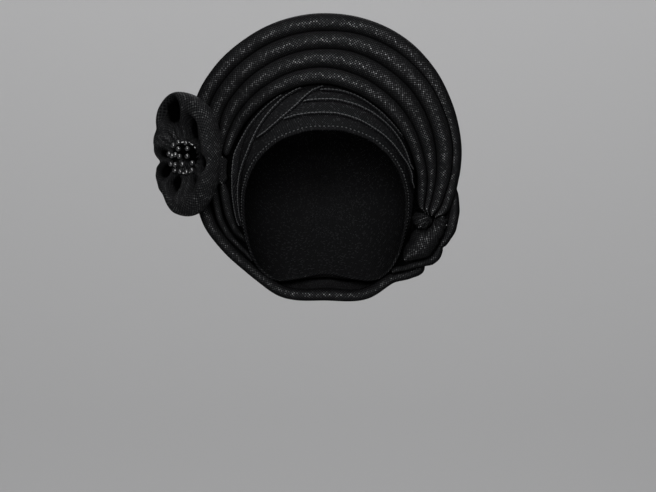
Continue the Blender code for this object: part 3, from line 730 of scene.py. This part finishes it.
def build_cap(material):
    """The cap: its inner face, a rounded and hemmed rim, and its outer face."""
    around, along = CAP_FINE
    angles = full_circle(around)

    def row(share, lift, back=0.0, swell=lambda angle, tilt: 0.0):
        points = []
        for angle in angles[:-1]:
            rim = rim_tilt(angle) + back
            tilt = rim + (90 - rim) * share
            points.append(place(angle, *lifted(angle, tilt, lift + swell(angle, tilt))))
        return points

    shares = [step / (along + 0.5) for step in range(along + 1)]
    rows = [row(share, 0.0) for share in reversed(shares)]
    for turn in (30, 60, 90, 120, 150):
        lift = (CAP_WALL + HEM_LIFT) * (1 - cosine(turn)) / 2
        rows.append(row(0, lift, -RIM_ROUND * sine(turn)))
    for back, lift in HEM_SECTION:
        rows.append(row(0, CAP_WALL + HEM_LIFT * lift, HEM_WIDTH * back))
    rows += [row(share, CAP_WALL, HEM_WIDTH * HEM_END, side_swell) for share in shares]
    weave = round_weave(angles, HEAD_HALF_WIDTH, [points[around // 4] for points in rows])
    piece = new_piece("cap", lay_mesh("cap", rows, weave), material)
    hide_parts("base_cap")
    return piece


def pleat_outline(front, back, rise):
    """A pleat's section as tilts and lifts: a rolled front edge, a falling top and a flat underside."""
    low = CAP_WALL + SEAT_GAP
    bend = front + PLEAT_FRONT
    top_steps = 10
    under_steps = 6
    outline = [(back, low + PLEAT_BACK_RISE * rise)]
    for step in range(1, top_steps + 1):
        share = step / top_steps
        top = PLEAT_TOP_RISE + (1 - PLEAT_TOP_RISE) * share ** 2
        outline.append((back + (bend - back) * share, low + rise * top))
    for turn in (70, 45, 20, 0, -20, -45, -70):
        tilt = bend - (PLEAT_NOSE + PLEAT_FRONT) * cosine(turn)
        outline.append((tilt, low + rise * (1 + sine(turn)) / 2))
    for step in range(1, under_steps + 1):
        outline.append((bend + (back - bend) * step / under_steps, low))
    return outline


def pleat_angles(name):
    """The angles where a pleat is wide enough to be kept."""
    edge = PLEAT_EDGES[name]
    spans = ((angle, *pleat_span(name, angle)) for angle in fine_angles(edge.first(), edge.last()))
    return [angle for angle, front, back in spans if back - front >= PLEAT_LEAST_WIDTH * PLEAT_KEPT]


def build_pleat(name, seed, material):
    angles = pleat_angles(name)
    rings = []
    for angle in angles:
        front, back = pleat_span(name, angle)
        ease = end_ease(angle, angles[0], angles[-1], PLEAT_END_ROUNDING)
        front += PLEAT_WAVER * wavy(angle, 0, WAVER_SCALE, seed)
        rings.append([place(angle, *lifted(angle, tilt, lift))
                      for tilt, lift in pleat_outline(front, back, pleat_rise(name, angle) * ease)])
    weave = []
    for ring, along in zip(rings, distances([ring[0] for ring in rings])):
        weave.append([(along, across) for across in distances(ring + ring[:1])])
    piece_name = name.replace("pleat", "crossed_pleat")
    piece = new_piece(piece_name, lay_mesh(piece_name, rings, weave), material)
    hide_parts(name)
    return piece


def add_stitch(shape, start, end, up, radius):
    """A short thread that bows up out of the cloth between two points."""
    run = end - start
    side = run.cross(up).normalized()
    rings = []
    for share, bow, size in STITCH_SECTIONS:
        centre = start + run * share + up * (radius * bow)
        rings.append([shape.verts.new(centre + (side * cosine(turn) + up * sine(turn)) * radius * size)
                      for turn in range(0, 360, 60)])
    count = len(rings[0])
    for ring, following in zip(rings, rings[1:]):
        for index in range(count):
            other = (index + 1) % count
            shape.faces.new((ring[index], ring[other], following[other], following[index]))
    shape.faces.new(rings[0])
    shape.faces.new(tuple(reversed(rings[-1])))


def build_stitches(name, course, stitch, material):
    """Stitches along a course of points and outward directions, at an even pitch."""
    length, pitch, radius = stitch
    shape = bmesh.new()
    walked = 0.0
    due = 0.0
    for (point, up), (following, _) in zip(course, course[1:]):
        run = (following - point).length
        while run > 0 and due <= walked + run:
            start = point + (following - point) * ((due - walked) / run)
            add_stitch(shape, start, start + (following - point).normalized() * length, up, radius)
            due += pitch
        walked += run
    bmesh.ops.recalc_face_normals(shape, faces=shape.faces)
    new_piece(name, mesh_from(shape, name), material)


def form_course(places):
    """Points at angles, tilts and lifts over the head form, each with the direction out of the form."""
    course = []
    for angle, tilt, lift in places:
        point = place(angle, *lifted(angle, tilt, lift))
        further_out = place(angle, *lifted(angle, tilt, lift + 0.01))
        course.append((point, (further_out - point).normalized()))
    return course


def build_rim_stitches(material):
    places = [(angle, rim_tilt(angle) + HEM_WIDTH * RIM_STITCH_PLACE, CAP_WALL + HEM_LIFT)
              for angle in full_circle(int(360 / FINE_STEP))]
    build_stitches("rim_stitches", form_course(places), RIM_STITCH, material)


def build_pleat_stitches(name, seed, material):
    """The thread that closes a pleat's rolled front edge."""
    inset = EDGE_STITCH_INSET
    angles = pleat_angles(name)[inset:-inset]
    places = []
    for angle in angles:
        waver = PLEAT_WAVER * wavy(angle, 0, WAVER_SCALE, seed)
        tilt = PLEAT_EDGES[name].at(angle, "tilt") + EDGE_STITCH_TILT + waver
        ease = end_ease(angle, angles[0] - inset, angles[-1] + inset, PLEAT_END_ROUNDING)
        rise = pleat_rise(name, angle) * ease * EDGE_STITCH_RISE
        places.append((angle, tilt, CAP_WALL + SEAT_GAP + rise))
    build_stitches(name.replace("pleat", "stitches"), form_course(places), EDGE_STITCH, material)


def thicken(piece, wall, offset):
    """Gives a sheet its wall, and keeps the result as the piece's own mesh."""
    solidify = piece.modifiers.new("wall", "SOLIDIFY")
    solidify.thickness = wall
    solidify.offset = offset
    solidify.use_even_offset = offset > 0
    solidify.use_rim = True
    evaluated = piece.evaluated_get(bpy.context.evaluated_depsgraph_get())
    mesh = bpy.data.meshes.new_from_object(evaluated)
    piece.modifiers.clear()
    piece.data = mesh
    mesh.shade_smooth()


def build_drape(material):
    """The cloth that closes the back, drawn in folds towards its middle."""
    around, along = DRAPE_FINE
    angles = full_circle(around)
    rows = []
    for step in range(along + 1):
        share = step / (along + 0.4)
        row = []
        for angle in angles[:-1]:
            point = drape_point(HALO, angle, share)
            out = Vector((point.x, 0, point.z)).normalized()
            drawn = sine(180 * share ** 0.8)
            wander = DRAPE_CREASE_WANDER * wavy(angle, 0, 0.03, 4)
            fine = cosine(DRAPE_CREASES * angle + wander) * DRAPE_CREASE_DEPTH
            small = wavy(angle * 0.4, share * 300, 0.2, 7) * DRAPE_CRUMPLE
            row.append(point + out * (drawn * (fine + small)))
        rows.append(row)
    weave = []
    for distance in reversed(distances([row[0] for row in reversed(rows)])):
        weave.append([(distance * cosine(angle), distance * sine(angle)) for angle in angles])
    mesh = lay_mesh("drape", rows, weave, closed_ends=False)
    mark_crest(mesh, [[DRAPE_PAINTED_LIGHT] * around] * len(rows))
    shape = bmesh.new()
    shape.from_mesh(mesh)
    rims = [edge for edge in shape.edges if edge.is_boundary]
    tight = [edge for edge in rims if edge.verts[0].co.y > HEAD_HALF_DEPTH * 0.9]
    bmesh.ops.contextual_create(shape, geom=tight)
    shape.to_mesh(mesh)
    shape.free()
    piece = new_piece("drape", mesh, material)
    thicken(piece, DRAPE_WALL, 1)
    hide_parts("back_drape")
    return piece


def fine_scoop(angle, share):
    """How far the scoops between the ruffles draw the cloth in, with steep sides."""
    depth = 0.0
    for middle, reach, width, span, deep in ROSETTE_SCOOPS:
        apart = abs((angle - middle + 180) % 360 - 180) / width
        along = (share - reach) / span
        depth += deep * math.exp(-(apart ** 2 + along ** 2) ** SCOOP_STEEPNESS)
    return depth


def build_rosette(material):
    """The ruffled flower: its section runs from the eye over the rim to the back, at each angle."""
    middle, across, up, out = rosette_frame()
    around, along = ROSETTE_FINE
    angles = full_circle(around)
    eye = ROSETTE_EYE * ROSETTE_RADIUS
    rows = []
    crests = []
    for step in range(along + 1):
        at = ROSETTE_SECTION.last() * step / along
        reach_share = ROSETTE_SECTION.at(at, "reach")
        height_share = ROSETTE_SECTION.at(at, "height")
        front = at <= FRONT_ROWS
        row = []
        crest_row = []
        for angle in angles[:-1]:
            rim = ROSETTE_RIM.at(angle, "reach") * ROSETTE_RADIUS
            reach = eye + (rim - eye) * reach_share
            height = height_share
            scoop = fine_scoop(angle, reach_share) if height_share > 0 and front else 0.0
            height -= scoop * (height_share + SCOOP_UNDERCUT + SCOOP_DEEPENED)
            varied = PETAL_PAINTED_LIGHT_VARIES * wavy(angle, reach_share * RUFFLE_SCALE, 0.16, 5)
            # Painted light on the petal, lowered in the scoops as painted shade
            crest_row.append(min(max(PETAL_PAINTED_LIGHT + varied - SCOOP_PAINTED_SHADE * scoop, 0), 1))
            height *= ROSETTE_RIM.at(angle, "height")
            gather = math.exp(-(reach_share / EYE_GATHER_REACH) ** 2)
            wander = EYE_GATHER_WANDER * wavy(angle, 0, 0.05, 2)
            height += EYE_GATHER_DEPTH * gather * cosine(EYE_GATHERS * angle + wander)
            height += RUFFLE_UNEVENNESS * wavy(angle * 0.6, reach_share * RUFFLE_SCALE, 0.15, 9)
            height *= ROSETTE_DEPTH
            direction = across * cosine(angle) + up * sine(angle)
            row.append(middle + direction * reach + out * height)
        rows.append(row)
        crests.append(crest_row)
    weave = round_weave(angles, ROSETTE_RADIUS * ROSETTE_WEAVE_SHARE, [row[0] for row in rows])
    mesh = lay_mesh("ruffled_rosette", rows, weave, closed_ends=False)
    mark_crest(mesh, crests)
    piece = new_piece("ruffled_rosette", mesh, material)
    thicken(piece, PETAL_WALL, -1)
    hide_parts("rosette")
    return piece


def build_heart(material):
    """The rosette's gathered middle and the short neck that seats it."""
    middle, across, up, out = rosette_frame()
    crown = ROSETTE_EYE * ROSETTE_RADIUS - HEART_GAP

    def crown_height(share):
        return HEART_RISE * (1 - share ** 2)

    profile = Table(("place", "reach", "height"), (
        (0, NECK_RADIUS * 0.8, -ROSETTE_NECK),
        (1, NECK_RADIUS, -ROSETTE_NECK + NECK_RADIUS * 0.3),
        (2, NECK_RADIUS, -ROSETTE_DEPTH * 0.45),
        (3, crown, -ROSETTE_DEPTH * 0.16),
        (3.4, crown * 0.96, crown_height(0.96)),
        (4.2, crown * 0.5, crown_height(0.5)),
        (5, crown * 0.02, crown_height(0))))
    turns = tube_turns(LUMP_SIDES)
    rings = []
    crown_starts = 3.3
    for step in range(HEART_RINGS + 1):
        at = profile.last() * step / HEART_RINGS
        ring = []
        for turn in turns[:-1]:
            pleated = 1 + 0.03 * cosine(9 * turn) * (at < 3.5)
            reach = profile.at(at, "reach") * min(pleated, 1.0)
            height = profile.at(at, "height")
            if at > crown_starts:
                share = (at - crown_starts) / (profile.last() - crown_starts)
                height += 0.0004 * cosine(14 * turn) * sine(180 * share)
            ring.append(middle + (across * cosine(turn) + up * sine(turn)) * reach + out * height)
        rings.append(ring)
    piece = new_piece("gathered_heart", tube_mesh("gathered_heart", rings, turns), material)
    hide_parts("rosette_heart")


def build_beads(material):
    """Round beads, each where its solid is."""
    segments, rings = BEAD_FINE
    for number in range(1, BEAD_COUNT + 1):
        low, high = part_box(f"bead_{number:02d}")
        centre = [(first + second) / 2 for first, second in zip(low, high)]
        shape = bmesh.new()
        bmesh.ops.create_uvsphere(shape, u_segments=segments, v_segments=rings, radius=BEAD_RADIUS)
        name = f"glossy_bead_{number:02d}"
        piece = new_piece(name, mesh_from(shape, name), material)
        piece.location = centre
        piece.rotation_euler = (0.4 * number, 0.7 * number, 0)
        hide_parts(f"bead_{number:02d}")


class Nodes:
    """A material's node tree, built from calls that return sockets."""

    def __init__(self, name):
        self.material = bpy.data.materials.new(name)
        self.material.use_nodes = True
        self.tree = self.material.node_tree
        self.shader = self.tree.nodes["Principled BSDF"]

    def node(self, kind, **settings):
        node = self.tree.nodes.new(kind)
        for key, value in settings.items():
            setattr(node, key, value)
        return node

    def feed(self, socket, value):
        if isinstance(value, bpy.types.NodeSocket):
            self.tree.links.new(value, socket)
        else:
            socket.default_value = value

    def math(self, operation, first, second=0.0, third=0.0):
        node = self.node("ShaderNodeMath", operation=operation)
        for socket, value in zip(node.inputs, (first, second, third)):
            self.feed(socket, value)
        return node.outputs[0]

    def times(self, first, second):
        return self.math("MULTIPLY", first, second)

    def power(self, value, exponent):
        return self.math("POWER", value, exponent)

    def graded(self, value, span, base):
        """The base, and the span times the value on top."""
        return self.math("MULTIPLY_ADD", value, span, base)

    def mix_colour(self, share, first, second):
        node = self.node("ShaderNodeMix", data_type="RGBA")
        self.feed(node.inputs["Factor"], share)
        self.feed(node.inputs["A"], first)
        self.feed(node.inputs["B"], second)
        return node.outputs["Result"]

    def weave_axes(self):
        """The two thread directions of the cloth, at 45 degrees to its run, in threads."""
        coordinates = self.node("ShaderNodeUVMap", uv_map="weave").outputs[0]
        parts = self.node("ShaderNodeSeparateXYZ")
        self.feed(parts.inputs[0], coordinates)
        scale = 0.7071 / THREAD_PITCH
        along, across = parts.outputs[0], parts.outputs[1]
        first = self.times(self.math("ADD", along, across), scale)
        second = self.times(self.math("SUBTRACT", along, across), scale)
        return first, second

    def thread(self, axis):
        """1 on a thread's crest and 0 between threads."""
        return self.graded(self.math("SINE", self.times(axis, math.tau)), 0.5, 0.5)

    def cell_noise(self, first, second):
        """A value from 0 to 1 for each crossing of two threads."""
        cell = self.node("ShaderNodeCombineXYZ")
        self.feed(cell.inputs[0], self.math("FLOOR", first))
        self.feed(cell.inputs[1], self.math("FLOOR", second))
        draw = self.node("ShaderNodeTexWhiteNoise", noise_dimensions="2D")
        self.feed(draw.inputs["Vector"], cell.outputs[0])
        return draw.outputs["Value"]

    def soft_noise(self, scale):
        """Smooth unevenness over the piece, with about the scale's number of waves to a metre."""
        place_now = self.node("ShaderNodeTexCoord").outputs["Object"]
        cloud = self.node("ShaderNodeTexNoise")
        self.feed(cloud.inputs["Vector"], place_now)
        cloud.inputs["Scale"].default_value = scale
        cloud.inputs["Detail"].default_value = 2.0
        return cloud.outputs["Fac"]

    def bump(self, height, distance, strength=1.0):
        node = self.node("ShaderNodeBump")
        node.inputs["Distance"].default_value = distance
        node.inputs["Strength"].default_value = strength
        self.feed(node.inputs["Height"], height)
        self.feed(self.shader.inputs["Normal"], node.outputs[0])

    def set(self, **values):
        for name, value in values.items():
            self.feed(self.shader.inputs[name.replace("_", " ")], value)


def woven_cloth():
    """Near-black diamond net of threads, with a painted highlight on the crests and painted shade down the
    sides, whose crossings glint.
    """
    nodes = Nodes("woven_cloth")
    first, second = nodes.weave_axes()
    thread_1 = nodes.thread(first)
    thread_2 = nodes.thread(second)
    net = nodes.math("MAXIMUM", nodes.power(thread_1, 2.0), nodes.power(thread_2, 2.0))
    cloud = nodes.graded(nodes.soft_noise(60), 0.9, 0.5)
    cloth = nodes.mix_colour(nodes.times(net, cloud), WOVEN_GROUND, WOVEN_NET)

    # Glints lie on the crossings, most along the crests: the threads' own glitter, made strongest along the
    # crests as a painted highlight
    crest = nodes.node("ShaderNodeAttribute", attribute_name="crest").outputs["Fac"]
    painted_highlight = nodes.power(crest, CREST_SHARPNESS)
    line = nodes.power(crest, LINE_SHARPNESS)
    glinting = nodes.graded(painted_highlight, 0.25, nodes.graded(line, 0.8, 0.08))
    drawn = nodes.power(nodes.cell_noise(first, second), 3.0)
    crossing = nodes.power(nodes.times(thread_1, thread_2), 2.0)
    spot = nodes.times(crossing, nodes.times(drawn, glinting))
    tone = nodes.mix_colour(spot, cloth, WOVEN_GLINT)

    # Painted light: the colour is lightened on the crests as a painted highlight and darkened down the sides
    # and into the grooves as painted shade
    painted_side_light = nodes.math("MAXIMUM", nodes.graded(crest, 4.0, -1.2), 0.0)
    painted_side_light = nodes.math("MINIMUM", painted_side_light, 1.0)
    painted_light_level = nodes.graded(painted_highlight, 0.7, nodes.graded(painted_side_light, 0.66, 0.04))
    painted_light_tone = nodes.node("ShaderNodeVectorMath", operation="SCALE")
    nodes.feed(painted_light_tone.inputs[0], tone)
    nodes.feed(painted_light_tone.inputs["Scale"], painted_light_level)
    nodes.set(Base_Color=painted_light_tone.outputs[0])
    nodes.set(Metallic=nodes.graded(spot, 0.55, nodes.times(net, 0.1)))
    nodes.set(Roughness=nodes.graded(net, -0.06, 0.52), Specular_IOR_Level=0.0)
    height = nodes.math("ADD", nodes.times(net, 0.7), nodes.times(nodes.soft_noise(900), 0.3))
    nodes.bump(height, 0.0005, 0.4)
    return nodes.material


def twill_cloth():
    """Fine diagonal twill of the forehead band and its pleats."""
    nodes = Nodes("band_cloth")
    first, second = nodes.weave_axes()
    ridge = nodes.times(nodes.thread(first), nodes.graded(nodes.thread(second), 0.6, 0.4))
    cloth = nodes.mix_colour(ridge, TWILL_GROUND, TWILL_RIDGE)
    drawn = nodes.math("GREATER_THAN", nodes.cell_noise(first, second), 0.88)
    spot = nodes.times(nodes.power(ridge, 2.0), drawn)
    nodes.set(Base_Color=nodes.mix_colour(spot, cloth, TWILL_GLINT))
    nodes.set(Roughness=nodes.graded(nodes.soft_noise(90), 0.2, 0.6), Specular_IOR_Level=0.0)
    nodes.bump(nodes.math("ADD", ridge, nodes.times(nodes.soft_noise(700), 0.6)), 0.0004, 0.7)
    return nodes.material


def plain_material(name, colour, roughness):
    nodes = Nodes(name)
    nodes.set(Base_Color=colour, Roughness=roughness)
    return nodes.material


def uneven_material(name, colour, roughness, grain, **looks):
    """One colour, whose roughness runs from the first to the sum of both values with a fine grain."""
    nodes = Nodes(name)
    smoothest, more = roughness
    nodes.set(Base_Color=colour, Roughness=nodes.graded(nodes.soft_noise(grain), more, smoothest), **looks)
    return nodes.material


def build_studio():
    """A floor that sweeps up into a plain backdrop."""
    bend = WALL_DISTANCE - SWEEP_RADIUS
    profile = [(-WALL_DISTANCE, FLOOR_HEIGHT), (bend, FLOOR_HEIGHT)]
    for turn in range(5, 91, 5):
        profile.append((bend + SWEEP_RADIUS * sine(turn),
                        FLOOR_HEIGHT + SWEEP_RADIUS * (1 - cosine(turn))))
    profile.append((WALL_DISTANCE, WALL_TOP))
    shape = bmesh.new()
    sides = [[shape.verts.new((x, y, z)) for y, z in profile] for x in (-WALL_DISTANCE, WALL_DISTANCE)]
    for index in range(len(profile) - 1):
        shape.faces.new((sides[0][index], sides[1][index], sides[1][index + 1], sides[0][index + 1]))
    sweep = add_object("studio_sweep", mesh_from(shape, "studio_sweep"))
    sweep.data.materials.append(plain_material("studio_grey", STUDIO_COLOUR, 0.9))
    sweep.data.shade_smooth()


def add_light(name, position, target, size, power):
    light = bpy.data.lights.new(name, "AREA")
    light.shape = "RECTANGLE"
    light.size, light.size_y = size
    light.energy = power
    holder = add_object(name, light)
    holder.visible_camera = False
    holder.location = position
    aim = Vector(target) - Vector(position)
    holder.rotation_euler = aim.to_track_quat("-Z", "Y").to_euler()


def add_camera():
    """The photograph's view: level, straight from the front, aimed at the picture's middle."""
    camera = bpy.data.cameras.new("photo_camera")
    camera.sensor_width = SENSOR_WIDTH
    camera.lens = SENSOR_WIDTH * CAMERA_DISTANCE / (PHOTO_SIZE[0] * METRES_PER_PIXEL)
    holder = add_object("photo_camera", camera)
    holder.location = ((PHOTO_SIZE[0] / 2 - AXIS_PIXEL[0]) * METRES_PER_PIXEL, -CAMERA_DISTANCE,
                       (AXIS_PIXEL[1] - PHOTO_SIZE[1] / 2) * METRES_PER_PIXEL)
    holder.rotation_euler = (math.radians(90), 0, 0)
    bpy.context.scene.camera = holder


def light_studio():
    world = bpy.data.worlds.new("studio")
    world.use_nodes = True
    background = world.node_tree.nodes["Background"]
    background.inputs["Color"].default_value = (1, 1, 1, 1)
    background.inputs["Strength"].default_value = WORLD_STRENGTH
    bpy.context.scene.world = world
    bpy.context.scene.view_settings.view_transform = "Standard"
    for light in LIGHTS:
        add_light(*light)


def main():
    woven = woven_cloth()
    twill = twill_cloth()
    thread = uneven_material("stitch_thread", THREAD_COLOUR, (0.35, 0.2), 2000)

    stack = ("roll_1", "roll_2", "roll_3")
    for index, name in enumerate(stack):
        piece = build_roll(f"padded_{name}", lambda angle: arch_stack(angle)[index],
                           FIRST_ANGLE, LAST_ANGLE, index * 1.7, woven)
        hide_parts(name)
    halo = build_roll("padded_halo", lambda angle: halo_section(HALO, angle),
                      FIRST_ANGLE, HALO_LAST_ANGLE, 5.1, woven, FREE_SIDE_PAINTED_LIGHT)
    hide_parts("halo_roll")
    folds = (("nape_fold_1", NAPE_FOLD_1, 0.0), ("nape_fold_2", NAPE_FOLD_2, 0.0),
             ("loop_lower", LOOP_LOWER, 0.0), ("loop_outer", LOOP_OUTER, LOOP_OVERRUN))
    for number, (name, table, overrun) in enumerate(folds):
        piece = build_fold(f"soft_{name}", table, 8 + number * 1.3, woven, overrun)
        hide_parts(name)
    for lump in LUMPS:
        build_lump(*lump, woven)

    cap = build_cap(twill)
    for number, (name, strip) in enumerate(zip(PLEAT_EDGES, PLEAT_STRIPS)):
        piece = build_pleat(name, number * 2.3, twill)
        build_pleat_stitches(name, number * 2.3, thread)
    build_rim_stitches(thread)

    drape = build_drape(woven)
    rosette = build_rosette(woven)
    build_heart(woven)
    beads = uneven_material("glossy_black_bead", BEAD_COLOUR, (0.25, 0.1), 400,
                            Coat_Weight=1.0, Coat_Roughness=0.12)
    build_beads(beads)

    build_studio()
    light_studio()
    add_camera()


main()
